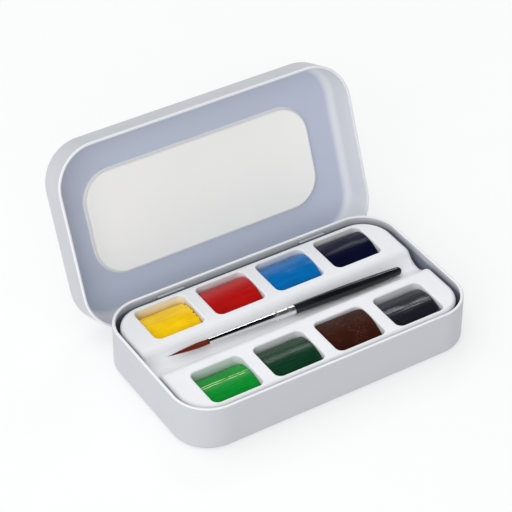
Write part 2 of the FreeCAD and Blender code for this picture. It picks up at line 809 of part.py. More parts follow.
def make_handle():
    """Lacquered handle with its tang in the back of the ferrule."""
    start = brush_start() + size("tuft_length") + size("ferrule_length")
    handle = spindle(
        "brush_handle",
        start,
        size("handle_start"),
        start + size("handle_belly_place"),
        size("handle_belly"),
        start + size("handle_length") - size("handle_cap"),
        size("handle_end"),
        size("handle_cap"),
    )
    add_root(handle, start, ferrule_bore_back() - size("socket_gap"), size("tang_length"))
    return handle


def ferrule_bore_back():
    """Bore radius where the ferrule grips the tang, a plain cylinder."""
    return size("ferrule_back_radius") - size("ferrule_gauge") - size("tang_step")


def make_ferrule():
    """Seamless metal ferrule: a tapered tube with two crimped rings near the handle."""
    front = size("tuft_root") + size("ferrule_gauge") + size("socket_gap")
    back = size("ferrule_back_radius")
    start = brush_start() + size("tuft_length")
    length = size("ferrule_length")
    skin = along_x("Cone", "ferrule_skin", start, ZERO, ZERO)
    bind(skin, "Radius1", front)
    bind(skin, "Radius2", back)
    bind(skin, "Height", length)
    rings = []
    for name in ("first", "second"):
        place = size("crimp_" + name)
        ring = along_x("Torus", "crimp_" + name + "_ring", start + length - place, ZERO, ZERO)
        bind(ring, "Radius1", back + size("crimp_stand") - size("crimp_radius"))
        bind(ring, "Radius2", size("crimp_radius"))
        rings.append(ring)
    metal = doc.addObject("Part::MultiFuse", "ferrule_metal")
    metal.Shapes = [skin] + rings
    grip = along_x("Cylinder", "ferrule_grip", start + length - size("tang_length"), ZERO, ZERO)
    bind(grip, "Radius", ferrule_bore_back())
    bind(grip, "Height", size("tang_length") + OVERSHOOT)
    throat = along_x("Cylinder", "ferrule_throat", start - OVERSHOOT, ZERO, ZERO)
    bind(throat, "Radius", front - size("ferrule_gauge"))
    bind(throat, "Height", length)
    bore = doc.addObject("Part::MultiFuse", "ferrule_bore")
    bore.Shapes = [grip, throat]
    ferrule = doc.addObject("Part::Cut", "brush_ferrule")
    ferrule.Label = "brush_ferrule"
    ferrule.Base = metal
    ferrule.Tool = bore
    ferrule.Placement = laid_in_channel()
    return ferrule


# ---- make every piece ----

pieces = [make_base(), make_lid(), make_tray()]
for side_name, side_sign in SIDES:
    pieces.append(make_clip(side_name, side_sign))
    pieces.append(make_pin(side_name, side_sign))
BACK_ROW = ("yellow", "red", "blue", "indigo")
FRONT_ROW = ("light_green", "dark_green", "brown", "black")
for row_sign, colours in ((1.0, BACK_ROW), (-1.0, FRONT_ROW)):
    for column_number, colour_name in enumerate(colours):
        pieces.append(make_cake(colour_name, column_number, row_sign))
pieces += [make_tuft(), make_ferrule(), make_handle()]
doc.recompute()

# ---- check and export ----

for item in doc.Objects:
    if "Invalid" in item.State or "Error" in item.State:
        raise RuntimeError("%s failed: %s" % (item.Name, item.State))
os.makedirs("parts", exist_ok=True)
for piece in pieces:
    shape = piece.Shape
    if shape.isNull() or not shape.isValid() or len(shape.Solids) != 1:
        raise RuntimeError("%s: bad shape, %d solids" % (piece.Label, len(shape.Solids)))
    shape.exportStep("parts/%s.step" % piece.Label)
    box = shape.BoundBox
    print(
        "%-18s %9.1f mm3  x %6.1f %6.1f  y %6.1f %6.1f  z %6.1f %6.1f"
        % (piece.Label, shape.Volume, box.XMin, box.XMax, box.YMin, box.YMax, box.ZMin, box.ZMax)
    )
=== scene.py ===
# %% [markdown]
# # A pocket watercolour tin
#
# The set is a white enamelled tin with a slip-over lid, a moulded tray, eight cakes of paint
# and a small travelling brush. The tins, tray, hinge parts, ferrule and handle already have
# their true shapes in the frame, so here they only get their finishes. The cakes and the hair
# of the brush are soft, hand-made looking things, so they are made again as meshes.

# %% Load the frame
import json
import math
import random

import bpy
from mathutils import Matrix, Vector, noise


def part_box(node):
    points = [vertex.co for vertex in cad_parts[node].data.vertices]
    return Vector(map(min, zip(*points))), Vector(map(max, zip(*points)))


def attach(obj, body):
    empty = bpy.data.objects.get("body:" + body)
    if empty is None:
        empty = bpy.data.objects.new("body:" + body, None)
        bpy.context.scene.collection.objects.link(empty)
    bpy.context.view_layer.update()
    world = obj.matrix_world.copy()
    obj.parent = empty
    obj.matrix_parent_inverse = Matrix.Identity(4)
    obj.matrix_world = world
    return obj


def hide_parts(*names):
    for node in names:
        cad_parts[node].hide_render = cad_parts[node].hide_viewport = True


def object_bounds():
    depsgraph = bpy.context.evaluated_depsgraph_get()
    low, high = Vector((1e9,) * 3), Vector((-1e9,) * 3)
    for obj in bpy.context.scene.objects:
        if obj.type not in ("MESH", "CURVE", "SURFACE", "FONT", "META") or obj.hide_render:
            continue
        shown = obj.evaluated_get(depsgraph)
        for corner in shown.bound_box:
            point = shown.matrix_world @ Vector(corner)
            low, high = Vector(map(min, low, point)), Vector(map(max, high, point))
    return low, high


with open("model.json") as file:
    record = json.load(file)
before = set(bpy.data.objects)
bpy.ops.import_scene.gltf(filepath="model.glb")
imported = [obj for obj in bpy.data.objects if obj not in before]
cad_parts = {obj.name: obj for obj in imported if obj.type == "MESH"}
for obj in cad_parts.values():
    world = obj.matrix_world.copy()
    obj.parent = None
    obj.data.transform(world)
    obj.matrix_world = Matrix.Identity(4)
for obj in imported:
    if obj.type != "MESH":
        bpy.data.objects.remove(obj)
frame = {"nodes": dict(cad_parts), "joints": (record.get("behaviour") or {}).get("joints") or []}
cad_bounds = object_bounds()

MM = 0.001
UP = Vector((0, 0, 1))
nodes = frame["nodes"]
scene = bpy.context.scene


def box_of(node):
    """Lowest and highest corner of a frame node, as vectors."""
    return tuple(Vector(corner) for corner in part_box(node))


print("nodes in the frame:", ", ".join(sorted(nodes)))

# %% [markdown]
# ## The camera
#
# A long lens from the front left, looking down on the paints. A long lens keeps the tin's
# edges nearly parallel. The camera could be aimed with a constraint, but two angles say the
# same thing and are easier to change: its azimuth round the tin and its height above the
# table. Its axes are worked out from those two.

# %% Camera
CAMERA_AZIMUTH = math.radians(-32.0)
CAMERA_HEIGHT = math.radians(38.115)
CAMERA_PLACE = Vector((-274.50, -419.86, 429.50)) * MM
LENS = 147.76
SENSOR = 36.0


def camera_axes(azimuth, height):
    """Right, up and back of a level camera, as the columns of a rotation."""
    back = Vector((
        math.sin(azimuth) * math.cos(height),
        -math.cos(azimuth) * math.cos(height),
        math.sin(height),
    ))
    right = UP.cross(back).normalized()
    return Matrix((right, back.cross(right), back)).transposed()


lens = bpy.data.cameras.new("camera")
lens.lens = LENS
lens.sensor_width = SENSOR
lens.clip_end = 10.0
camera = bpy.data.objects.new("camera", lens)
aimed = camera_axes(CAMERA_AZIMUTH, CAMERA_HEIGHT).to_4x4()
camera.matrix_world = Matrix.Translation(CAMERA_PLACE) @ aimed
scene.collection.objects.link(camera)
scene.camera = camera
scene.view_settings.view_transform = "Standard"
print("camera at", [round(c, 3) for c in CAMERA_PLACE])

# %% [markdown]
# ## Small tools for shader nodes
#
# Every finish below is a tree of nodes. A few helpers keep those trees short. One adds a
# node. One feeds a socket, either with a number or by a link from another socket. The others
# do sums, smooth ramps, blends of two colours, and noise.

# %% Adding nodes and feeding sockets
def add_node(tree, kind, **settings):
    """A new node with its settings."""
    node = tree.nodes.new(kind)
    for name, value in settings.items():
        setattr(node, name, value)
    return node


def feed(tree, socket, source):
    """Set a socket to a constant, or link it from another socket."""
    if isinstance(source, bpy.types.NodeSocket):
        tree.links.new(source, socket)
    else:
        socket.default_value = source


def arithmetic(tree, operation, *terms, clamp=False):
    """The result of one sum on numbers or sockets."""
    node = add_node(tree, "ShaderNodeMath", operation=operation, use_clamp=clamp)
    for socket, term in zip(node.inputs, terms):
        feed(tree, socket, term)
    return node.outputs[0]


def vector_math(tree, operation, *terms):
    """The result of one sum on vectors; a dot product gives a number."""
    node = add_node(tree, "ShaderNodeVectorMath", operation=operation)
    for socket, term in zip(node.inputs, terms):
        feed(tree, socket, term)
    return node.outputs["Value" if operation == "DOT_PRODUCT" else "Vector"]


def split_place(tree, place):
    """The X, Y and Z sockets of a place."""
    node = add_node(tree, "ShaderNodeSeparateXYZ")
    feed(tree, node.inputs[0], place)
    return node.outputs


print("nodes, sockets and sums")


# %% Ramps, blends and noise
def ramp(tree, value, low, high, to_low=0.0, to_high=1.0):
    """Map a stretch of values smoothly onto another, holding the ends."""
    node = add_node(tree, "ShaderNodeMapRange", interpolation_type="SMOOTHSTEP")
    names = ("Value", "From Min", "From Max", "To Min", "To Max")
    for name, term in zip(names, (value, low, high, to_low, to_high)):
        feed(tree, node.inputs[name], term)
    return node.outputs["Result"]


def blend_colours(tree, share, first, second):
    """The first colour where share is 0, the second where it is 1."""
    node = add_node(tree, "ShaderNodeMix", data_type="RGBA")
    feed(tree, node.inputs["Factor"], share)
    feed(tree, node.inputs["A"], first)
    feed(tree, node.inputs["B"], second)
    return node.outputs["Result"]


def noise_of(tree, place, scale, detail=2.0, roughness=0.5):
    """Soft noise between 0 and 1; scale is in waves to the metre."""
    node = add_node(tree, "ShaderNodeTexNoise")
    for name, term in (("Vector", place), ("Scale", scale), ("Detail", detail), ("Roughness", roughness)):
        feed(tree, node.inputs[name], term)
    return node.outputs["Fac"]


def dots_of(tree, place, scale, outer, inner):
    """A mask of round dots, one in each cell, fading from inner to outer."""
    node = add_node(tree, "ShaderNodeTexVoronoi", feature="F1")
    feed(tree, node.inputs["Vector"], place)
    feed(tree, node.inputs["Scale"], scale)
    return ramp(tree, node.outputs["Distance"], outer, inner)


print("ramps, blends and noise")

# %% [markdown]
# ## Node groups
#
# A group is a tree that is built once and used in several materials, with named sockets like
# any other node. Whoever uses a group only sees its name and its sockets, so a group is the
# place for an effect that many surfaces share. The groups here never hold a shader: they give
# out masks and heights, and each material decides what these do to its colour and its gloss.

# %% Making and using groups
NUMBER, VECTOR = "NodeSocketFloat", "NodeSocketVector"


def new_group(name, inputs, outputs):
    """A group's tree, inner input sockets and inner output sockets."""
    tree = bpy.data.node_groups.new(name, "ShaderNodeTree")
    for label, (kind, value) in inputs.items():
        socket = tree.interface.new_socket(label, in_out="INPUT", socket_type=kind)
        if value is not None:
            socket.default_value = value
    for label, kind in outputs.items():
        tree.interface.new_socket(label, in_out="OUTPUT", socket_type=kind)
    given = tree.nodes.new("NodeGroupInput").outputs
    result = tree.nodes.new("NodeGroupOutput").inputs
    return tree, given, result


def use_group(tree, group, **values):
    """Use a group in a tree; its socket names are written with _ for a space."""
    node = add_node(tree, "ShaderNodeGroup", node_tree=group)
    for name, value in values.items():
        feed(tree, node.inputs[name.replace("_", " ")], value)
    return node.outputs


print("node groups can be made")

# %% [markdown]
# ## Flow
#
# What a liquid coat does as it dries or sets: a slow unevenness of tone and a finer ripple.
# Enamel, lacquer, plating and moulded plastic all have it, at different scales. Stretch draws
# it out along one axis, for wire and for drawn tube.

# %% The flow group
def make_flow():
    """Slow tone and fine ripple of a coat."""
    tree, given, result = new_group(
        "flow",
        {"Place": (VECTOR, None), "Tone Scale": (NUMBER, 40.0), "Ripple Scale": (NUMBER, 900.0),
         "Stretch": (VECTOR, (1.0, 1.0, 1.0))},
        {"Tone": NUMBER, "Ripple": NUMBER},
    )
    place = vector_math(tree, "MULTIPLY", given["Place"], given["Stretch"])
    feed(tree, result["Tone"], noise_of(tree, place, given["Tone Scale"], detail=3.0))
    feed(tree, result["Ripple"], noise_of(tree, place, given["Ripple Scale"], detail=1.0))
    return tree


flow = make_flow()
print("group", flow.name)

# %% [markdown]
# ## Handling
#
# The faint dulling that fingers leave in patches, and the odd speck of dust. Both are masks.
# The specks are dots, and a second noise lets them through in few places only, because dust
# that is spread evenly looks like a pattern.

# %% The handling group
DUST_GATHERS = (0.60, 0.66)


def make_handling():
    """Patches where fingers have been, and rare specks."""
    tree, given, result = new_group(
        "handling",
        {"Place": (VECTOR, None), "Patch Scale": (NUMBER, 90.0), "Speck Scale": (NUMBER, 2600.0),
         "Amount": (NUMBER, 0.5)},
        {"Mask": NUMBER, "Specks": NUMBER},
    )
    patches = ramp(tree, noise_of(tree, given["Place"], given["Patch Scale"], detail=5.0), 0.46, 0.68)
    feed(tree, result["Mask"], arithmetic(tree, "MULTIPLY", patches, given["Amount"]))
    specks = dots_of(tree, given["Place"], given["Speck Scale"], 0.16, 0.05)
    rare = ramp(tree, noise_of(tree, given["Place"], 700.0), *DUST_GATHERS)
    feed(tree, result["Specks"], arithmetic(tree, "MULTIPLY", specks, rare))
    return tree


handling = make_handling()
print("group", handling.name)

# %% [markdown]
# ## Rounded box distance
#
# How far a point lies inside a box with rounded corners and a rounded crown. It lets a finish
# tell the inside of a tin from its outside, or a pressed panel from its surround. Painting
# the faces by hand would do too, but a distance gives soft borders of any width. The distance
# stops growing at the crown's radius. With its top far above the part, the box is a column.

# %% The rounded box distance group
FAR_ABOVE = 1.0


def beyond(tree, value, half, radius):
    """How far a value goes past the place where the rounding starts."""
    edge = arithmetic(tree, "SUBTRACT", half, radius)
    return arithmetic(tree, "MAXIMUM", arithmetic(tree, "SUBTRACT", value, edge), 0.0)


def hypotenuse(tree, first, second):
    """Length of the longest side over two others."""
    squares = (arithmetic(tree, "MULTIPLY", side, side) for side in (first, second))
    return arithmetic(tree, "SQRT", arithmetic(tree, "ADD", *squares))


def make_rounded_box():
    """Distance below the skin of the box; positive is inside."""
    tree, given, result = new_group(
        "rounded_box_distance",
        {"Place": (VECTOR, None), "Half Length": (NUMBER, 0.05), "Half Depth": (NUMBER, 0.03),
         "Corner": (NUMBER, 0.01), "Top": (NUMBER, 0.01), "Crown": (NUMBER, 0.003)},
        {"Inside": NUMBER},
    )
    x, y, z = split_place(tree, given["Place"])
    across = beyond(tree, arithmetic(tree, "ABSOLUTE", x), given["Half Length"], given["Corner"])
    along = beyond(tree, arithmetic(tree, "ABSOLUTE", y), given["Half Depth"], given["Corner"])
    plan = arithmetic(tree, "SUBTRACT", hypotenuse(tree, across, along), given["Corner"])
    sideways = arithmetic(tree, "MAXIMUM", arithmetic(tree, "ADD", plan, given["Crown"]), 0.0)
    upward = beyond(tree, z, given["Top"], given["Crown"])
    outside = arithmetic(tree, "SUBTRACT", hypotenuse(tree, sideways, upward), given["Crown"])
    feed(tree, result["Inside"], arithmetic(tree, "MULTIPLY", outside, -1.0))
    return tree


rounded_box = make_rounded_box()
print("group", rounded_box.name)

# %% [markdown]
# ## A material and its bumps
#
# Each finish is one Principled shader. What doesn't vary is set on the shader itself, and
# what varies is linked to it. Object coordinates are used for places, because they stay with
# the piece when it moves. Ripples too fine to model are given as a bump height in metres.

# %% Material helpers
def new_material(name, roughness, **constants):
    """A material, its tree, its shader, and the place of a point on its object."""
    material = bpy.data.materials.new(name)
    material.use_nodes = True
    tree = material.node_tree
    shader = tree.nodes["Principled BSDF"]
    shader.inputs["Roughness"].default_value = roughness
    for label, value in constants.items():
        shader.inputs[label.replace("_", " ")].default_value = value
    place = add_node(tree, "ShaderNodeTexCoord").outputs["Object"]
    return material, tree, shader, place


def raise_bumps(tree, shader, height, distance):
    """Turn a height of 0 to 1 into bumps of that many metres."""
    bump = add_node(tree, "ShaderNodeBump")
    bump.inputs["Distance"].default_value = distance
    feed(tree, bump.inputs["Height"], height)
    feed(tree, shader.inputs["Normal"], bump.outputs["Normal"])


def vary_roughness(tree, shader, mask, amount, base):
    """Roughness that grows from its base by an amount where a mask says so."""
    feed(tree, shader.inputs["Roughness"], arithmetic(tree, "MULTIPLY_ADD", mask, amount, base))


def wear(node, material):
    """Give a frame node one material."""
    mesh = nodes[node].data
    mesh.materials.clear()
    mesh.materials.append(material)
    print(node, "wears", material.name)


# %% [markdown]
# ## The enamel on the tins
#
# The tins are pressed from thin sheet and stoved white. Stoved enamel is smooth and only half
# glossy, with a faint orange-peel ripple. The very top of a hem is painted whiter, a painted
# highlight. The inside of the base below the hem, which the tray hides, is painted dark grey as
# painted shade; it shows as the dark line round the tray. One function lays the enamel over
# any base colour, so that both tins share the same ripple and dust.

# %% The enamel itself
COOL_TONE = (0.55, 0.60, 0.68, 1.0)
DUST = (0.35, 0.33, 0.30, 1.0)


def finish_enamel(tree, shader, place, colour):
    """Tone, ripple and handling over a base colour that may itself be a socket."""
    coat = use_group(tree, flow, Place=place, Tone_Scale=35.0, Ripple_Scale=1400.0)
    used = use_group(tree, handling, Place=place, Amount=0.35)
    toned = blend_colours(tree, ramp(tree, coat["Tone"], 0.3, 0.7, 0.0, 0.06), colour, COOL_TONE)
    dusty = arithmetic(tree, "MULTIPLY", used["Specks"], 0.25)
    feed(tree, shader.inputs["Base Color"], blend_colours(tree, dusty, toned, DUST))
    vary_roughness(tree, shader, used["Mask"], 0.22, 0.34)
    raise_bumps(tree, shader, coat["Ripple"], 0.004 * MM)


# %% Enamel of the base and the hinge clips
ENAMEL_WHITE = (0.53, 0.54, 0.565, 1.0)
# Painted light: a near-white for the painted highlight on the top of each hem and the painted light on the
# lid's inner walls.
PAINTED_LIGHT_WHITE = (0.84, 0.845, 0.86, 1.0)
# Painted shade: a dark grey painted on the inside of the base below the hem, where shade falls in the gap
# round the tray.
GAP_SHADE_GREY = (0.22, 0.25, 0.31, 1.0)
BASE_LOW, BASE_HIGH = box_of("base_tin")
BASE_HALF = (BASE_HIGH - BASE_LOW) / 2
BASE_CORNER = 12.5 * MM
BASE_CROWN = 3.0 * MM
HEM_HEIGHT = 1.1 * MM


def below_rim(share):
    """Height of a level in the hem: 0 is its top, 1 its lower edge."""
    return BASE_HIGH.z - HEM_HEIGHT * share


def make_enamel():
    """White outside, with a painted highlight on the hem's top and painted shade inside below the hem."""
    material, tree, shader, place = new_material("stoved_enamel", 0.35, Specular_IOR_Level=0.45)
    shell = use_group(
        tree, rounded_box, Place=place, Half_Length=BASE_HALF.x, Half_Depth=BASE_HALF.y,
        Corner=BASE_CORNER, Top=below_rim(1.0), Crown=BASE_CROWN,
    )["Inside"]
    z = split_place(tree, place)["Z"]
    # Painted shade: inside the base and below the hem the colour turns to the dark grey.
    below = ramp(tree, z, below_rim(0.9), below_rim(1.5))
    gap_shade = arithmetic(tree, "MULTIPLY", below, ramp(tree, shell, 0.2 * MM, 0.4 * MM))
    # Painted highlight: the top of the hem is painted whiter.
    crest_highlight = ramp(tree, z, below_rim(0.30), below_rim(0.05))
    skin = blend_colours(tree, crest_highlight, ENAMEL_WHITE, PAINTED_LIGHT_WHITE)
    finish_enamel(tree, shader, place, blend_colours(tree, gap_shade, skin, GAP_SHADE_GREY))
    return material


enamel = make_enamel()
for part in ("base_tin", "hinge_clip_left", "hinge_clip_right"):
    wear(part, enamel)

# %% [markdown]
# ## The lid's own axes
#
# A finish that differs from place to place needs to know where it is. The lid stands open, so
# straight up for the lid is no longer straight up for the scene. The hinge joint says where
# the pins are and how far the lid turns, and from these come two directions: away from the
# hinge, and deep, from the rim towards the crown. The lid's sizes are measured along them.

# %% Axes and sizes of the lid
hinge = next(joint for joint in frame["joints"] if joint["name"] == "lid_hinge")
lid_turn = math.radians(hinge["range_deg"][1])
hinge_line = Vector(hinge["pos_m"])
lid_away = Vector((0, -math.cos(lid_turn), math.sin(lid_turn)))
lid_deep = Vector((0, math.sin(lid_turn), math.cos(lid_turn)))

lid_points = [vertex.co - hinge_line for vertex in nodes["lid_tin"].data.vertices]
away_reach = [point.dot(lid_away) for point in lid_points]
LID_HALF_LENGTH = max(point.x for point in lid_points)
LID_HALF_DEPTH = (max(away_reach) - min(away_reach)) / 2
LID_HEM_HALF = -min(away_reach)
LID_TOP = max(point.dot(lid_deep) for point in lid_points)
LID_CORNER = 14.0 * MM
LID_CROWN = 3.3 * MM
LID_SHEET = 0.5 * MM
LID_MIDDLE = LID_HALF_DEPTH - LID_HEM_HALF


def lid_place(tree, place):
    """A point's place in the shut lid: x, then from its middle to the front, then its height."""
    arm = vector_math(tree, "SUBTRACT", place, hinge_line)
    away = arithmetic(tree, "SUBTRACT", vector_math(tree, "DOT_PRODUCT", arm, lid_away), LID_MIDDLE)
    deep = vector_math(tree, "DOT_PRODUCT", arm, lid_deep)
    joined = add_node(tree, "ShaderNodeCombineXYZ")
    for socket, value in zip(joined.inputs, (split_place(tree, place)["X"], away, deep)):
        feed(tree, socket, value)
    return joined.outputs[0]


print("lid", [round(half * 2 / MM, 2) for half in (LID_HALF_LENGTH, LID_HALF_DEPTH)], "mm")

# %% [markdown]
# ## The enamel of the lid
#
# Inside the lid the ring round the pressed panel is painted a cool grey-blue, a painted shade.
# The panel is painted the whitest, and the walls nearly as white, as painted light. Three
# masks tell them apart: the inner face of the sheet, the panel's outline, and the distance
# from the walls. The back of the panel is a dish in the outside of the lid, so it is taken
# out of the inner face again.

# %% Enamel of the lid
# Painted shade: the cool grey-blue of the ring round the panel. Painted light: the near-white of the
# panel.
RING_PAINTED_SHADE = (0.52, 0.565, 0.68, 1.0)
PANEL_PAINTED_LIGHT = (0.97, 0.96, 0.93, 1.0)
PANEL_HALF_LENGTH = 41.0 * MM
PANEL_HALF_DEPTH = 17.0 * MM
PANEL_CORNER = 10.0 * MM
PANEL_MIDDLE = 10.5 * MM


def lid_masks(tree, own):
    """Masks of the inner face, the panel and the walls of the lid."""
    outline = {"Place": own, "Half_Length": LID_HALF_LENGTH, "Half_Depth": LID_HALF_DEPTH,
               "Corner": LID_CORNER}
    shell = use_group(tree, rounded_box, Top=LID_TOP, Crown=LID_CROWN, **outline)["Inside"]
    side = use_group(tree, rounded_box, Top=FAR_ABOVE, Crown=LID_CORNER / 2, **outline)["Inside"]
    panel = use_group(
        tree, rounded_box, Place=own, Half_Length=PANEL_HALF_LENGTH, Half_Depth=PANEL_HALF_DEPTH,
        Corner=PANEL_CORNER, Top=FAR_ABOVE, Crown=PANEL_CORNER / 2,
    )["Inside"]
    inner_face = ramp(tree, shell, LID_SHEET * 0.4, LID_SHEET * 0.6)
    within = ramp(tree, panel, LID_SHEET * 0.4, LID_SHEET * 0.6)
    above = ramp(tree, split_place(tree, own)["Z"], PANEL_MIDDLE - 0.05 * MM, PANEL_MIDDLE + 0.05 * MM)
    dish = arithmetic(tree, "MULTIPLY", within, above)
    inner_face = arithmetic(tree, "SUBTRACT", inner_face, dish, clamp=True)
    panel_light = ramp(tree, panel, -0.8 * MM, -0.1 * MM)
    wall_light = ramp(tree, side, 3.4 * MM, 1.0 * MM)
    return inner_face, panel_light, wall_light


def make_lid_enamel():
    """White outside with a painted highlight on the hem; inside, painted shade on a ring round a panel and
    walls of painted light.
    """
    material, tree, shader, place = new_material("stoved_enamel_lid", 0.35, Specular_IOR_Level=0.45)
    own = lid_place(tree, place)
    inner_face, panel_light, wall_light = lid_masks(tree, own)
    # Painted shade on the ring, lightened towards the walls by painted light; the panel is painted whitest
    # as painted light.
    ring = blend_colours(tree, arithmetic(tree, "MULTIPLY", wall_light, 0.85), RING_PAINTED_SHADE, PAINTED_LIGHT_WHITE)
    inside = blend_colours(tree, panel_light, ring, PANEL_PAINTED_LIGHT)
    # Painted highlight: the top of the lid's hem is painted whiter.
    crest_highlight = ramp(tree, split_place(tree, own)["Z"], LID_HEM_HALF * 0.4, -LID_HEM_HALF * 0.6)
    skin = blend_colours(tree, crest_highlight, ENAMEL_WHITE, PAINTED_LIGHT_WHITE)
    finish_enamel(tree, shader, place, blend_colours(tree, inner_face, skin, inside))
    return material


wear("lid_tin", make_lid_enamel())

# %% [markdown]
# ## The hinge pins
#
# Two short lengths of drawn steel wire, held in the lid's hem. Drawing leaves fine lines
# along a wire, so the flow is drawn out along X.

# %% Steel wire
def make_wire():
    """Bright drawn wire."""
    material, tree, shader, place = new_material("hinge_wire", 0.3, Metallic=1.0)
    drawn = use_group(tree, flow, Place=place, Stretch=(0.1, 1.0, 1.0), Ripple_Scale=6000.0)
    tone = blend_colours(tree, drawn["Tone"], (0.55, 0.55, 0.56, 1.0), (0.70, 0.70, 0.71, 1.0))
    feed(tree, shader.inputs["Base Color"], tone)
    raise_bumps(tree, shader, drawn["Ripple"], 0.003 * MM)
    return material


wire = make_wire()
for part in ("hinge_pin_left", "hinge_pin_right"):
    wear(part, wire)

# %% [markdown]
# ## Where the paints are
#
# Each well holds one colour. The wells are found from the boxes of the frame's cakes, and the
# deck is the highest level of the tray. Colours are in linear light, so they look darker as
# numbers than they do on the paint.

# %% Wells and colours
DECK = max(vertex.co.z for vertex in nodes["insert_tray"].data.vertices)
PAINTS = {
    "yellow": (0.93, 0.57, 0.002),
    "red": (0.43, 0.0045, 0.0035),
    "blue": (0.0005, 0.142, 0.43),
    "indigo": (0.003, 0.004, 0.022),
    "light_green": (0.001, 0.260, 0.026),
    "dark_green": (0.003, 0.040, 0.014),
    "brown": (0.042, 0.0080, 0.0028),
    "black": (0.011, 0.012, 0.020),
}


def well_of(colour):
    """Middle and half sizes of a cake, from its node's box."""
    low, high = box_of("cake_" + colour)
    return (low + high) / 2, (high - low) / 2


def opaque(colour):
    """A colour with its fourth, opaque part."""
    return tuple(colour) + (1.0,)


print("deck at", round(DECK / MM, 2), "mm")

# %% [markdown]
# ## The stain in a well
#
# Paint creeps up the wall of its well and dries there, so each wall carries a thin wash of its
# colour with a ragged upper line. The group makes that stain for one well: inside the well's
# outline, and below a line that noise makes uneven.

# %% The well stain group
WELL_CORNER = 2.0 * MM


def make_well_stain():
    """A mask of the stained wall of one well."""
    tree, given, result = new_group(
        "well_stain",
        {"Place": (VECTOR, None), "Middle": (VECTOR, None), "Half Length": (NUMBER, 0.009),
         "Half Depth": (NUMBER, 0.008), "Deck": (NUMBER, 0.0148), "Reach": (NUMBER, 0.002)},
        {"Mask": NUMBER},
    )
    arm = vector_math(tree, "SUBTRACT", given["Place"], given["Middle"])
    near = use_group(
        tree, rounded_box, Place=arm, Half_Length=given["Half Length"], Half_Depth=given["Half Depth"],
        Corner=WELL_CORNER, Top=FAR_ABOVE, Crown=0.0,
    )["Inside"]
    inside = ramp(tree, near, -0.75 * MM, -0.25 * MM)
    depth = arithmetic(tree, "SUBTRACT", given["Deck"], split_place(tree, given["Place"])["Z"])
    line = arithmetic(tree, "MULTIPLY", given["Reach"], noise_of(tree, given["Place"], 420.0, detail=4.0))
    soaked = ramp(tree, depth, line, arithmetic(tree, "ADD", line, given["Reach"]))
    feed(tree, result["Mask"], arithmetic(tree, "MULTIPLY", inside, soaked))
    return tree


well_stain = make_well_stain()
print("group", well_stain.name)

# %% [markdown]
# ## The moulded tray
#
# The tray is one injection moulding in white plastic: low gloss, and soft at every edge. Its
# material could be plain white with eight painted masks. Here it goes through the paints in
# turn and lays each one's stain over the last. Strong, transparent colours stain most.

# %% Plastic of the tray
TRAY_WHITE = (0.80, 0.805, 0.82, 1.0)
TRAY_SHADE = (0.66, 0.68, 0.72, 1.0)
STAIN_USUAL = 0.35
STAIN_STRENGTH = {"yellow": 0.75, "indigo": 0.30, "light_green": 0.45, "dark_green": 0.30}


def wash_of(paint):
    """A pale wash of a paint on white."""
    return opaque(0.25 + 0.75 * math.sqrt(channel) * 0.8 for channel in paint)


def make_tray_plastic():
    """White plastic with the eight stains."""
    material, tree, shader, place = new_material("tray_plastic", 0.36, Specular_IOR_Level=0.5)
    skin = use_group(tree, flow, Place=place, Tone_Scale=50.0, Ripple_Scale=2200.0)
    used = use_group(tree, handling, Place=place, Patch_Scale=140.0, Amount=0.3)
    colour = blend_colours(tree, ramp(tree, skin["Tone"], 0.3, 0.7, 0.0, 0.08), TRAY_WHITE, TRAY_SHADE)
    for name, paint in PAINTS.items():
        middle, half = well_of(name)
        mask = use_group(
            tree, well_stain, Place=place, Middle=middle, Half_Length=half.x, Half_Depth=half.y, Deck=DECK,
        )["Mask"]
        share = arithmetic(tree, "MULTIPLY", mask, STAIN_STRENGTH.get(name, STAIN_USUAL))
        colour = blend_colours(tree, share, colour, wash_of(paint))
    feed(tree, shader.inputs["Base Color"], colour)
    vary_roughness(tree, shader, used["Mask"], 0.25, 0.33)
    raise_bumps(tree, shader, skin["Ripple"], 0.003 * MM)
    return material


wear("insert_tray", make_tray_plastic())

# %% [markdown]
# ## The outline of a cake
#
# Watercolour is cast into its well as a thick syrup and shrinks as it dries, so each cake has
# a crown across the pan, an uneven skin, and a narrow gap round its sides. A cake could be
# sculpted, or be a box with a bevel. Here it is a grid, because a grid has points enough to
# carry the skin's marks. Its corners are squeezed onto arcs, so that its outline is the
# well's rounded rectangle.

# %% A grid with a rounded outline
def squeeze_corner(x, y, half, corner):
    """Move a point of a square-cornered grid so that the corners become arcs."""
    over_x = abs(x) - (half.x - corner)
    over_y = abs(y) - (half.y - corner)
    if over_x <= 0 or over_y <= 0:
        return x, y
    long_side = max(over_x, over_y)
    angle = min(over_x, over_y) / long_side * math.pi / 4
    first, second = long_side * math.cos(angle), long_side * math.sin(angle)
    if over_x < over_y:
        first, second = second, first
    return math.copysign(half.x - corner + first, x), math.copysign(half.y - corner + second, y)


def depth_inside(x, y, half, corner):
    """How far a point lies inside a rounded rectangle."""
    over_x = max(abs(x) - (half.x - corner), 0.0)
    over_y = max(abs(y) - (half.y - corner), 0.0)
    if over_x or over_y:
        return corner - math.hypot(over_x, over_y)
    return min(half.x - abs(x), half.y - abs(y))


print("a red cake is", [round(side * 2 / MM, 2) for side in well_of("red")[1]], "mm")

# %% [markdown]
# ## The skin of a cake
#
# Every point is lifted by a recipe. The crown is part of an ellipse across the pan, sunk below
# the deck, and it may lean sideways or tip towards the back. On it lie a slow swell, fine
# ridges along the pan, a grain, and pits. Noise from a fixed place gives the same cake each
# time, and each cake takes its own slice of that noise.

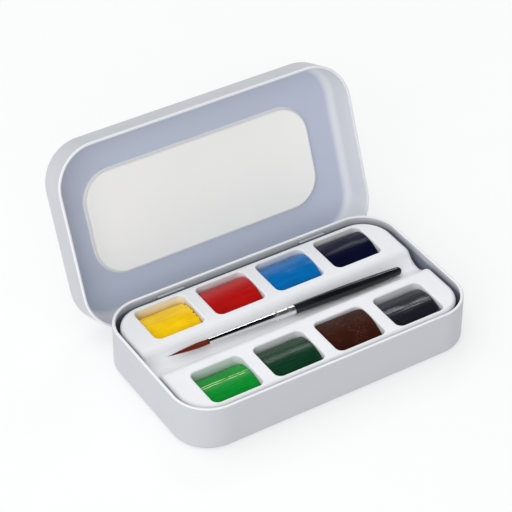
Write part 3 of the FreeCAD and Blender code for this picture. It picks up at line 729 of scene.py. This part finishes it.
# %% How high the skin of a cake lies
SLICE = 7.0 * MM
SWELL_PER_MM, SWELL_HEIGHT = 0.13, 0.30
RIDGES_ALONG, RIDGES_ACROSS = 0.10, 1.9
GRAIN_PER_MM = 1.7
PITS_PER_MM, PITS_SHIFT, PITS_START = 1.1, Vector((9, 4, 2)), 0.28


def crown_height(x, y, half, recipe):
    """Height of the crown above the deck, in metres; mostly negative."""
    across = y / half.y
    roundness = recipe["roundness"]
    fall = 1.0 - math.sqrt(1.0 - min((roundness * across) ** 2, 1.0))
    whole_fall = 1.0 - math.sqrt(1.0 - roundness**2)
    crown = -recipe["sink"] - recipe["rise"] * fall / whole_fall
    return crown + recipe["lean"] * x / half.x + recipe["tip_back"] * across


def skin_marks(x, y, recipe, seed):
    """Swell, ridges, grain and pits, in metres."""
    spot = Vector((x, y, seed * SLICE)) / MM
    swell = noise.noise(spot * SWELL_PER_MM) * SWELL_HEIGHT * recipe["swell"]
    drawn = Vector((spot.x * RIDGES_ALONG, spot.y * RIDGES_ACROSS, spot.z))
    ridges = noise.noise(drawn) * recipe["ridges"]
    grain = noise.noise(spot * GRAIN_PER_MM) * recipe["grain"]
    pits = max(0.0, noise.noise(spot * PITS_PER_MM + PITS_SHIFT) - PITS_START) * recipe["pits"]
    return (swell + ridges + grain - pits) * MM


# %% [markdown]
# ## The edges of a cake
#
# The skin rolls over at its edge in a quarter circle. One cake is also chipped: its right side
# is bitten away unevenly, which pulls the grid's columns in.

# %% Rolled and chipped edges
CHIPS_START = 0.55
CHIP_DEPTH = 3.0 * MM
CHIPS_PER_MM = 0.55
CHIP_SLICE = 3.0
CHIP_SLOPE, CHIP_LIP = 0.6, 0.02 * MM


def edge_roll(inside, radius):
    """How far the skin drops as it rolls over the cake's edge."""
    if inside >= radius:
        return 0.0
    return radius - math.sqrt(max(radius**2 - (radius - inside) ** 2, 0.0))


def chip(x, y, half, amount, seed):
    """The x of a point after its side has been bitten away."""
    near_edge = (x / half.x - CHIPS_START) / (1.0 - CHIPS_START)
    bite = abs(noise.noise(Vector((CHIP_SLICE, y / MM * CHIPS_PER_MM, seed))))
    return x - amount * near_edge * bite * CHIP_DEPTH


# %% [markdown]
# ## Closing a cake
#
# The skin alone would be a sheet. Going once round the grid's border gives a rim, a copy of
# that rim on the well's floor gives the foot, and faces between the two give the sides. One
# face closes the bottom, so that the cake is solid.

# %% Building one cake
COLUMNS, ROWS = 84, 74
CAKE_CORNER = 2.05 * MM
SHARP = math.radians(50)


def new_piece(name, points, faces):
    """A smooth mesh object from points and faces."""
    mesh = bpy.data.meshes.new(name)
    mesh.from_pydata(points, [], faces)
    mesh.shade_smooth()
    piece = bpy.data.objects.new(name, mesh)
    scene.collection.objects.link(piece)
    return piece


def skin_points(name, recipe, seed):
    """The points of a cake's skin, row by row."""
    middle, half = well_of(name)
    points = []
    for row in range(ROWS + 1):
        for column in range(COLUMNS + 1):
            flat_x = -half.x + 2 * half.x * column / COLUMNS
            flat_y = -half.y + 2 * half.y * row / ROWS
            x, y = squeeze_corner(flat_x, flat_y, half, CAKE_CORNER)
            inside = depth_inside(x, y, half, CAKE_CORNER)
            if recipe["ragged"] and x > half.x * CHIPS_START:
                x = chip(x, y, half, recipe["ragged"], seed)
                inside = min(inside, (half.x - x) * CHIP_SLOPE + CHIP_LIP)
            height = crown_height(x, y, half, recipe) + skin_marks(x, y, recipe, seed)
            height -= edge_roll(inside, recipe["roll"])
            points.append((middle.x + x, middle.y + y, DECK + height))
    return points


def border_of_grid():
    """Indices round the grid's border, once, anticlockwise from its first point."""
    width = COLUMNS + 1
    border = list(range(COLUMNS))
    border += [row * width + COLUMNS for row in range(ROWS)]
    border += [ROWS * width + column for column in range(COLUMNS, 0, -1)]
    border += [row * width for row in range(ROWS, 0, -1)]
    return border


def build_cake(name, recipe, seed):
    """A solid cake: skin, sides and bottom."""
    points = skin_points(name, recipe, seed)
    width = COLUMNS + 1
    corners = [row * width + column for row in range(ROWS) for column in range(COLUMNS)]
    faces = [(first, first + 1, first + 1 + width, first + width) for first in corners]
    floor = box_of("cake_" + name)[0].z
    rim = border_of_grid()
    start = len(points)
    points += [(*points[index][:2], floor) for index in rim]
    count = len(rim)
    for step in range(count):
        after = (step + 1) % count
        faces.append((rim[after], rim[step], start + step, start + after))
    faces.append(tuple(reversed(range(start, start + count))))
    piece = new_piece("paint_" + name, points, faces)
    piece.data.set_sharp_from_angle(angle=SHARP)
    return piece


# %% [markdown]
# ## Painted highlight lines
#
# Two fine, pale lines along one of the greens are painted highlights, painted reflections of a
# bright edge. A line is a distance from one level of Y, made to waver by noise, and broken in places by
# noise.

# %% The painted highlight line group
def make_painted_highlight_line():
    """A painted highlight: a fine line along the pan, wavering and broken, at a given level across it."""
    tree, given, result = new_group(
        "painted_highlight_line",
        {"Place": (VECTOR, None), "Line": (NUMBER, 0.0), "Width": (NUMBER, 0.0002)},
        {"Mask": NUMBER},
    )
    waves = noise_of(tree, given["Place"], 180.0)
    waver = arithmetic(tree, "MULTIPLY_ADD", waves, 0.8 * MM, -0.4 * MM)
    level = arithmetic(tree, "ADD", split_place(tree, given["Place"])["Y"], waver)
    away = arithmetic(tree, "ABSOLUTE", arithmetic(tree, "SUBTRACT", level, given["Line"]))
    near = ramp(tree, away, given["Width"], arithmetic(tree, "MULTIPLY", given["Width"], 0.3))
    drawn = vector_math(tree, "MULTIPLY", given["Place"], (0.3, 1.0, 1.0))
    broken = ramp(tree, noise_of(tree, drawn, 900.0, detail=3.0), 0.38, 0.52)
    feed(tree, result["Mask"], arithmetic(tree, "MULTIPLY", near, broken))
    return tree


painted_highlight_line = make_painted_highlight_line()
print("group", painted_highlight_line.name)

# %% [markdown]
# ## The film on the paint
#
# Gum makes dried watercolour glossy, but the gloss is broken: the brush leaves long faint
# streaks, and where pigment is coarse the skin is matt and grainy. The film group gives a tone
# for thin and thick places, the breaks in the gloss, a height, and speckles, and each colour
# takes its own share of them.

# %% The paint film group
def make_paint_film():
    """Tone, gloss breaks, height and speckles of a dried film."""
    tree, given, result = new_group(
        "paint_film",
        {"Place": (VECTOR, None), "Streaks": (NUMBER, 0.5), "Grain Scale": (NUMBER, 2500.0),
         "Speckle": (NUMBER, 0.0)},
        {"Tone": NUMBER, "Gloss Break": NUMBER, "Height": NUMBER, "Speckles": NUMBER},
    )
    drawn = vector_math(tree, "MULTIPLY", given["Place"], (0.09, 1.0, 1.0))
    streaks = noise_of(tree, drawn, 1300.0, detail=4.0, roughness=0.6)
    broad = noise_of(tree, given["Place"], 160.0, detail=3.0)
    grain = noise_of(tree, given["Place"], given["Grain Scale"], detail=3.0, roughness=0.65)
    half_broad = arithmetic(tree, "MULTIPLY", broad, 0.5)
    feed(tree, result["Tone"], arithmetic(tree, "MULTIPLY_ADD", streaks, 0.5, half_broad))
    breaks = ramp(tree, streaks, 0.48, 0.68)
    feed(tree, result["Gloss Break"], arithmetic(tree, "MULTIPLY", breaks, given["Streaks"]))
    low_grain = arithmetic(tree, "MULTIPLY", grain, 0.35)
    feed(tree, result["Height"], arithmetic(tree, "MULTIPLY_ADD", streaks, given["Streaks"], low_grain))
    dots = dots_of(tree, given["Place"], 1900.0, 0.30, 0.10)
    gathered = arithmetic(tree, "MULTIPLY", dots, ramp(tree, broad, 0.44, 0.58))
    feed(tree, result["Speckles"], arithmetic(tree, "MULTIPLY", gathered, given["Speckle"]))
    return tree


paint_film = make_paint_film()
print("group", paint_film.name)

# %% [markdown]
# ## A paint
#
# Thick paint is deeper in colour than thin paint, so the tone blends between the two. Coarse
# pigment shows as lighter flecks. Gloss and shine are low numbers, because dried gum is less
# shiny than wet paint.

# %% The material of a paint
# Painted highlight: the pale green of the lines along the light green.
HIGHLIGHT_LINE_GREEN = (0.50, 0.72, 0.30, 1.0)
THICKNESS = 0.86


def make_paint(name, colour, recipe):
    """The material of one cake."""
    material, tree, shader, place = new_material(
        "gum_paint_" + name, recipe["gloss"], Specular_IOR_Level=recipe["shine"]
    )
    film = use_group(tree, paint_film, Place=place, Streaks=recipe["streaks"], Speckle=recipe["speckle"])
    thin = opaque(min(1.0, channel * recipe["thin"] + recipe["milk"]) for channel in colour)
    thick = opaque(channel * THICKNESS for channel in colour)
    fleck = opaque(min(1.0, channel * 3.0 + 0.10) for channel in colour)
    shown = blend_colours(tree, ramp(tree, film["Tone"], 0.34, 0.66), thick, thin)
    shown = blend_colours(tree, film["Speckles"], shown, fleck)
    middle, _ = well_of(name)
    # Painted highlight lines along the pan, where the recipe lists them.
    for line in recipe["lines"]:
        mark = use_group(tree, painted_highlight_line, Place=place, Line=middle.y + line)["Mask"]
        shown = blend_colours(tree, mark, shown, HIGHLIGHT_LINE_GREEN)
    feed(tree, shader.inputs["Base Color"], shown)
    vary_roughness(tree, shader, film["Gloss Break"], recipe["dulling"], recipe["gloss"])
    raise_bumps(tree, shader, film["Height"], recipe["relief"])
    return material


# %% [markdown]
# ## Eight recipes
#
# All cakes start from one plain recipe, and each changes only what makes it different. For the
# shape: how far the crown sinks below the deck and how far it falls to its edges, how round it
# is, how it leans and tips, how its edge rolls, how chipped it is, and how much of each mark
# its skin has. For the finish: how streaky and speckled it is, its roughness (gloss) and how
# much the streaks add (dulling), how strongly it reflects (shine), how pale it is where thin,
# how milky, and how high its bumps are (relief). The brown is coarse and matt, and stands high
# at the back; the black is dried in waves; the yellow is chipped.

# %% Recipes
PLAIN = {
    "sink": 0.8 * MM, "rise": 2.9 * MM, "roundness": 0.80, "lean": 0.0, "tip_back": 0.4 * MM,
    "roll": 0.35 * MM, "ragged": 0.0, "swell": 0.4, "ridges": 0.016, "grain": 0.008, "pits": 0.0,
    "streaks": 0.5, "speckle": 0.0, "lines": (), "gloss": 0.17, "dulling": 0.13, "shine": 0.28,
    "thin": 1.10, "milk": 0.0, "relief": 0.012 * MM,
}
RECIPES = {
    "yellow": dict(PLAIN, sink=1.0 * MM, tip_back=0.1 * MM, ragged=0.65, swell=0.7, ridges=0.025),
    "red": dict(PLAIN, sink=0.2 * MM, lean=0.15 * MM, tip_back=0.6 * MM),
    "blue": dict(PLAIN, sink=0.1 * MM, lean=0.10 * MM, tip_back=0.6 * MM, gloss=0.13, shine=0.38),
    "indigo": dict(PLAIN, sink=0.2 * MM, tip_back=0.9 * MM, gloss=0.22, shine=0.16),
    # The light green has two painted highlight lines.
    "light_green": dict(
        PLAIN, sink=1.1 * MM, tip_back=0.1 * MM, lines=(0.5 * MM, 1.3 * MM), gloss=0.26, shine=0.16,
    ),
    "dark_green": dict(PLAIN, sink=0.4 * MM, streaks=0.7, milk=0.002, gloss=0.24),
    "brown": dict(
        PLAIN, sink=0.1 * MM, tip_back=1.7 * MM, grain=0.035, pits=0.35, streaks=0.3, speckle=0.6,
        gloss=0.45, shine=0.12, relief=0.05 * MM,
    ),
    "black": dict(PLAIN, sink=0.6 * MM, swell=0.9, ridges=0.03, streaks=0.6, gloss=0.23, shine=0.6),
}

# %% [markdown]
# ## Casting the cakes
#
# The frame's plain cakes stay for collision, and these meshes are what is seen of them. They
# ride on the tray, so they lift out with it.

# %% The eight cakes
for seed, (name, colour) in enumerate(PAINTS.items()):
    cake = build_cake(name, RECIPES[name], seed)
    cake.data.materials.append(make_paint(name, colour, RECIPES[name]))
    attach(cake, "tray")
    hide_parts("cake_" + name)
    print("cake", name, "with", len(cake.data.polygons), "faces")

# %% [markdown]
# ## Where the brush lies
#
# The brush lies a little askew in its channel. Its direction is found from the middles of two
# of its parts, the handle and the tuft. The hair starts where the ferrule ends.

# %% Axis of the brush
handle_low, handle_high = box_of("brush_handle")
tuft_low, tuft_high = box_of("brush_tuft")
ferrule_low, ferrule_high = box_of("brush_ferrule")
handle_middle = (handle_low + handle_high) / 2
tuft_middle = (tuft_low + tuft_high) / 2
brush_way = Vector((tuft_middle.x - handle_middle.x, tuft_middle.y - handle_middle.y, 0)).normalized()
brush_side = UP.cross(brush_way)
hair_length = ferrule_low.x - tuft_low.x
hair_root = tuft_middle + brush_way * (tuft_middle.x - ferrule_low.x)
hair_root.z = handle_middle.z
print("hair is", round(hair_length / MM, 1), "mm long")

# %% [markdown]
# ## The handle
#
# The handle is turned wood under black lacquer, dipped until it shines. Lacquer is a coloured
# coat under a little clear gloss. Its flow is drawn out along the handle, the way it ran off,
# and fingers have dulled it in patches.

# %% Black lacquer
def make_lacquer():
    """Dipped black lacquer."""
    material, tree, shader, place = new_material(
        "black_lacquer", 0.12, Specular_IOR_Level=0.45, Coat_Weight=0.1, Coat_Roughness=0.05
    )
    dip = use_group(
        tree, flow, Place=place, Stretch=(0.15, 1.0, 1.0), Tone_Scale=300.0, Ripple_Scale=1500.0
    )
    used = use_group(tree, handling, Place=place, Patch_Scale=300.0, Amount=0.5)
    tone = ramp(tree, dip["Tone"], 0.35, 0.65)
    shown = blend_colours(tree, tone, (0.006, 0.006, 0.009, 1.0), (0.016, 0.016, 0.022, 1.0))
    feed(tree, shader.inputs["Base Color"], shown)
    vary_roughness(tree, shader, used["Mask"], 0.2, 0.10)
    raise_bumps(tree, shader, dip["Ripple"], 0.004 * MM)
    return material


wear("brush_handle", make_lacquer())

# %% [markdown]
# ## The ferrule
#
# The ferrule is a drawn, nickelled tube, crimped twice onto the handle. Nickel is a metal, so
# its look is nearly all reflection: bright and sharp along the drawn part, and duller where
# the crimping tool has pressed it.

# %% Nickel plate
WORKED_FROM = ferrule_high.x - 9.0 * MM
WORKED_TO = ferrule_high.x - 6.5 * MM


def make_nickel():
    """Drawn nickel plate, burnished dull where the crimping tool pressed it."""
    material, tree, shader, place = new_material("nickel_plate", 0.10, Metallic=1.0)
    worked = ramp(tree, split_place(tree, place)["X"], WORKED_FROM, WORKED_TO)
    drawn = use_group(
        tree, flow, Place=place, Stretch=(0.05, 1.0, 1.0), Tone_Scale=900.0, Ripple_Scale=7000.0
    )
    tone = blend_colours(tree, drawn["Tone"], (0.74, 0.74, 0.75, 1.0), (0.92, 0.92, 0.92, 1.0))
    shown = blend_colours(tree, worked, tone, (0.97, 0.97, 0.97, 1.0))
    feed(tree, shader.inputs["Base Color"], shown)
    smooth = ramp(tree, drawn["Tone"], 0.3, 0.7, 0.07, 0.16)
    vary_roughness(tree, shader, worked, 0.24, smooth)
    raise_bumps(tree, shader, drawn["Ripple"], 0.002 * MM)
    return material


wear("brush_ferrule", make_nickel())

# %% [markdown]
# ## The shape of the tuft
#
# A pointed brush is a bundle of hairs that leave the ferrule together, swell to a belly, and
# close to a point. Blender's own hair curves could do this, but they don't export as a solid
# piece. Here each hair is a thin tube of mesh over a slim core. The golden angle spreads the
# hairs evenly round the core, in radians, without any rows.

# %% Tuft profile
HAIR_COUNT = 320
HAIR_STEPS = 12
HAIR_SIDES, CORE_SIDES = 5, 24
ROOT_RADIUS = 0.74 * MM
BELLY_RADIUS = 0.84 * MM
BELLY_AT = 0.26
CORE_SHARE = 0.90
HAIR_THICK = 0.055 * MM
GOLDEN_ANGLE = 2.399963
POINT_SHARE, POINT_CURVE = 0.02, 1.25


def tuft_radius(share):
    """Radius of the tuft at a share of its length, from the ferrule to the point."""
    if share < BELLY_AT:
        swell = math.sin(share / BELLY_AT * math.pi / 2)
        return ROOT_RADIUS + (BELLY_RADIUS - ROOT_RADIUS) * swell
    fall = (share - BELLY_AT) / (1 - BELLY_AT)
    return BELLY_RADIUS * max(POINT_SHARE, 1 - fall**POINT_CURVE)


def around(angle):
    """A unit step sideways from the brush's axis."""
    return brush_side * math.cos(angle) + UP * math.sin(angle)


def on_tuft(share, angle, reach):
    """A point at a share of the tuft's length, and a share of its radius."""
    centre = hair_root + brush_way * (hair_length * share)
    return centre + around(angle) * (tuft_radius(share) * reach)


# %% [markdown]
# ## The hairs
#
# A tube is a ring of points at each step of a path, joined by four-cornered faces and closed
# at both ends. Each hair gets its own distance from the core, a little twist and its own
# length, so that the point isn't cut straight. The random numbers start from a fixed seed.

# %% Building the tuft
SEED = 11
NEAREST, SPREAD = 0.86, 0.13
TWIST = 0.5
SHORTER = 0.10
THINNER = 0.75


def add_tube(points, faces, path, radii, sides):
    """A closed tube along a path, added to the lists."""
    start = len(points)
    for spot, radius in zip(path, radii):
        points += [tuple(spot + around(2 * math.pi * side / sides) * radius) for side in range(sides)]
    for ring in range(len(path) - 1):
        for side in range(sides):
            first = start + ring * sides + side
            after = start + ring * sides + (side + 1) % sides
            faces.append((first, after, after + sides, first + sides))
    last = start + (len(path) - 1) * sides
    faces.append(tuple(reversed(range(start, start + sides))))
    faces.append(tuple(range(last, last + sides)))


def build_tuft():
    """The core and all the hairs, as one piece."""
    draw = random.Random(SEED)
    points, faces = [], []
    shares = [step / HAIR_STEPS for step in range(HAIR_STEPS + 1)]
    core = [hair_root + brush_way * hair_length * share for share in shares]
    core_radii = [tuft_radius(share) * CORE_SHARE for share in shares]
    add_tube(points, faces, core, core_radii, CORE_SIDES)
    radii = [HAIR_THICK * (1.0 - THINNER * share**2) for share in shares]
    for index in range(HAIR_COUNT):
        angle = index * GOLDEN_ANGLE
        reach = NEAREST + SPREAD * draw.random()
        twist = (draw.random() - 0.5) * TWIST
        end = 1.0 - SHORTER * draw.random() ** 2
        path = [on_tuft(share * end, angle + twist * share, reach) for share in shares]
        add_tube(points, faces, path, radii, HAIR_SIDES)
    return new_piece("brush_hair", points, faces)


# %% [markdown]
# ## The colour of the hair
#
# The hair is a red-brown, lighter at the ferrule and nearly black at the point, where the
# hairs lie closest. Fine noise along the hairs varies them between two browns.

# %% Brown hair
HAIR_DARK, HAIR_LIGHT = (0.105, 0.010, 0.004, 1.0), (0.210, 0.026, 0.009, 1.0)
HAIR_AT_ROOT, HAIR_AT_TIP = (0.26, 0.040, 0.014, 1.0), (0.035, 0.007, 0.006, 1.0)


def make_hair():
    """Red-brown hair, darker towards the point."""
    material, tree, shader, place = new_material("brown_hair", 0.42, Specular_IOR_Level=0.15)
    arm = vector_math(tree, "SUBTRACT", place, hair_root)
    along = vector_math(tree, "DOT_PRODUCT", arm, brush_way)
    share = arithmetic(tree, "DIVIDE", along, hair_length)
    drawn = vector_math(tree, "MULTIPLY", place, (0.06, 1.0, 1.0))
    strands = noise_of(tree, drawn, 9000.0)
    shown = blend_colours(tree, ramp(tree, strands, 0.35, 0.65), HAIR_DARK, HAIR_LIGHT)
    shown = blend_colours(tree, ramp(tree, share, 0.0, 0.35, 0.35, 0.0), shown, HAIR_AT_ROOT)
    shown = blend_colours(tree, ramp(tree, share, 0.55, 1.0, 0.0, 0.7), shown, HAIR_AT_TIP)
    feed(tree, shader.inputs["Base Color"], shown)
    raise_bumps(tree, shader, strands, 0.01 * MM)
    return material


hair = build_tuft()
hair.data.materials.append(make_hair())
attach(hair, "brush")
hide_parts("brush_tuft")
print("hair with", len(hair.data.polygons), "faces")

# %% [markdown]
# ## The table
#
# White objects are hard to light: too much light and their edges vanish. The table is nearly
# white, and it glows a little by itself, so that only a trace of the tin's shadow stays on
# it. Its grain is just enough to keep it from looking like empty space.

# %% Table
TABLE_SIZE = 6.0
TABLE_GAP = 0.02 * MM
TABLE_GLOW = 0.60

bpy.ops.mesh.primitive_plane_add(size=TABLE_SIZE, location=(0, 0, cad_bounds[0][2] - TABLE_GAP))
table = bpy.context.object
table.name = "table"
pale_table, tree, shader, place = new_material("pale_table", 0.9, Specular_IOR_Level=0.0)
grain = noise_of(tree, place, 60.0)
shown = blend_colours(tree, grain, (0.36, 0.36, 0.36, 1.0), (0.37, 0.37, 0.37, 1.0))
feed(tree, shader.inputs["Base Color"], shown)
shader.inputs["Emission Color"].default_value = (1.0, 1.0, 1.0, 1.0)
shader.inputs["Emission Strength"].default_value = TABLE_GLOW
table.data.materials.append(pale_table)
print("table", TABLE_SIZE, "m wide")

# %% [markdown]
# ## The sky
#
# A soft sky lights everything: brightest above and on the left, darkest low on the right, so
# that the walls of the tin read as grey against its deck. Shiny things need something dark to
# reflect, so reflections see another sky, bright near the horizon and black above. What lies
# beyond the table is plain and pale.

# %% Sky
BRIGHT_SIDE = Vector((-0.62, 0.10, 0.78)).normalized()
SKY_LEVELS = (0.08, 0.98)
HORIZON_GLOW = 0.60

world = bpy.data.worlds.new("studio")
scene.world = world
world.use_nodes = True
sky = world.node_tree
sky.nodes.clear()
way = add_node(sky, "ShaderNodeTexCoord").outputs["Generated"]
ray = add_node(sky, "ShaderNodeLightPath").outputs


def background(strength, colour):
    """One sky, of a colour and a strength."""
    node = add_node(sky, "ShaderNodeBackground")
    node.inputs["Color"].default_value = opaque(colour)
    feed(sky, node.inputs["Strength"], strength)
    return node.outputs[0]


def choose(share, first, second):
    """The first sky where share is 0, the second where it is 1."""
    mix = add_node(sky, "ShaderNodeMixShader")
    for socket, term in zip(mix.inputs, (share, first, second)):
        feed(sky, socket, term)
    return mix.outputs[0]


towards_bright = vector_math(sky, "DOT_PRODUCT", way, BRIGHT_SIDE)
soft = background(ramp(sky, towards_bright, -0.5, 0.95, *SKY_LEVELS), (0.97, 0.985, 1.0))
dim = background(ramp(sky, split_place(sky, way)["Z"], 0.15, 0.60, HORIZON_GLOW, 0.0), (0.8, 0.8, 0.8))
pale = background(1.0, (0.955, 0.955, 0.955))
lit = choose(ray["Is Glossy Ray"], soft, dim)
seen = choose(ray["Is Camera Ray"], lit, pale)
feed(sky, add_node(sky, "ShaderNodeOutputWorld").inputs["Surface"], seen)
print("sky from", SKY_LEVELS[0], "to", SKY_LEVELS[1])

# %% [markdown]
# ## The lamps
#
# Three soft rectangles. One hangs above, and one fills the walls and the lid from the front
# left. Both are hidden from reflections, so that they don't veil the dark paints. The third is
# a narrow strip behind, and it is there to be reflected: it draws the thin line of light along
# each crown, the ferrule and the handle.

# %% Soft lights
def add_softbox(name, place, size, power, mirrored):
    """A soft rectangle of light aimed at the tin; mirrored ones also show in shiny surfaces."""
    light = bpy.data.lights.new(name, "AREA")
    light.shape = "RECTANGLE"
    light.size, light.size_y = size
    light.energy = power
    box = bpy.data.objects.new(name, light)
    aim = Vector(place).to_track_quat("Z", "Y").to_matrix().to_4x4()
    box.matrix_world = Matrix.Translation(place) @ aim
    box.visible_glossy = mirrored
    scene.collection.objects.link(box)
    print(name, "of", power, "W")


add_softbox("key_above", (-0.18, 0.22, 0.85), (0.5, 0.5), 1.0, False)
add_softbox("fill_in_front", (-0.52, -0.58, 0.45), (0.8, 0.5), 2.8, False)
add_softbox("strip_behind", (0.40, 0.56, 0.66), (0.36, 0.10), 0.85, True)
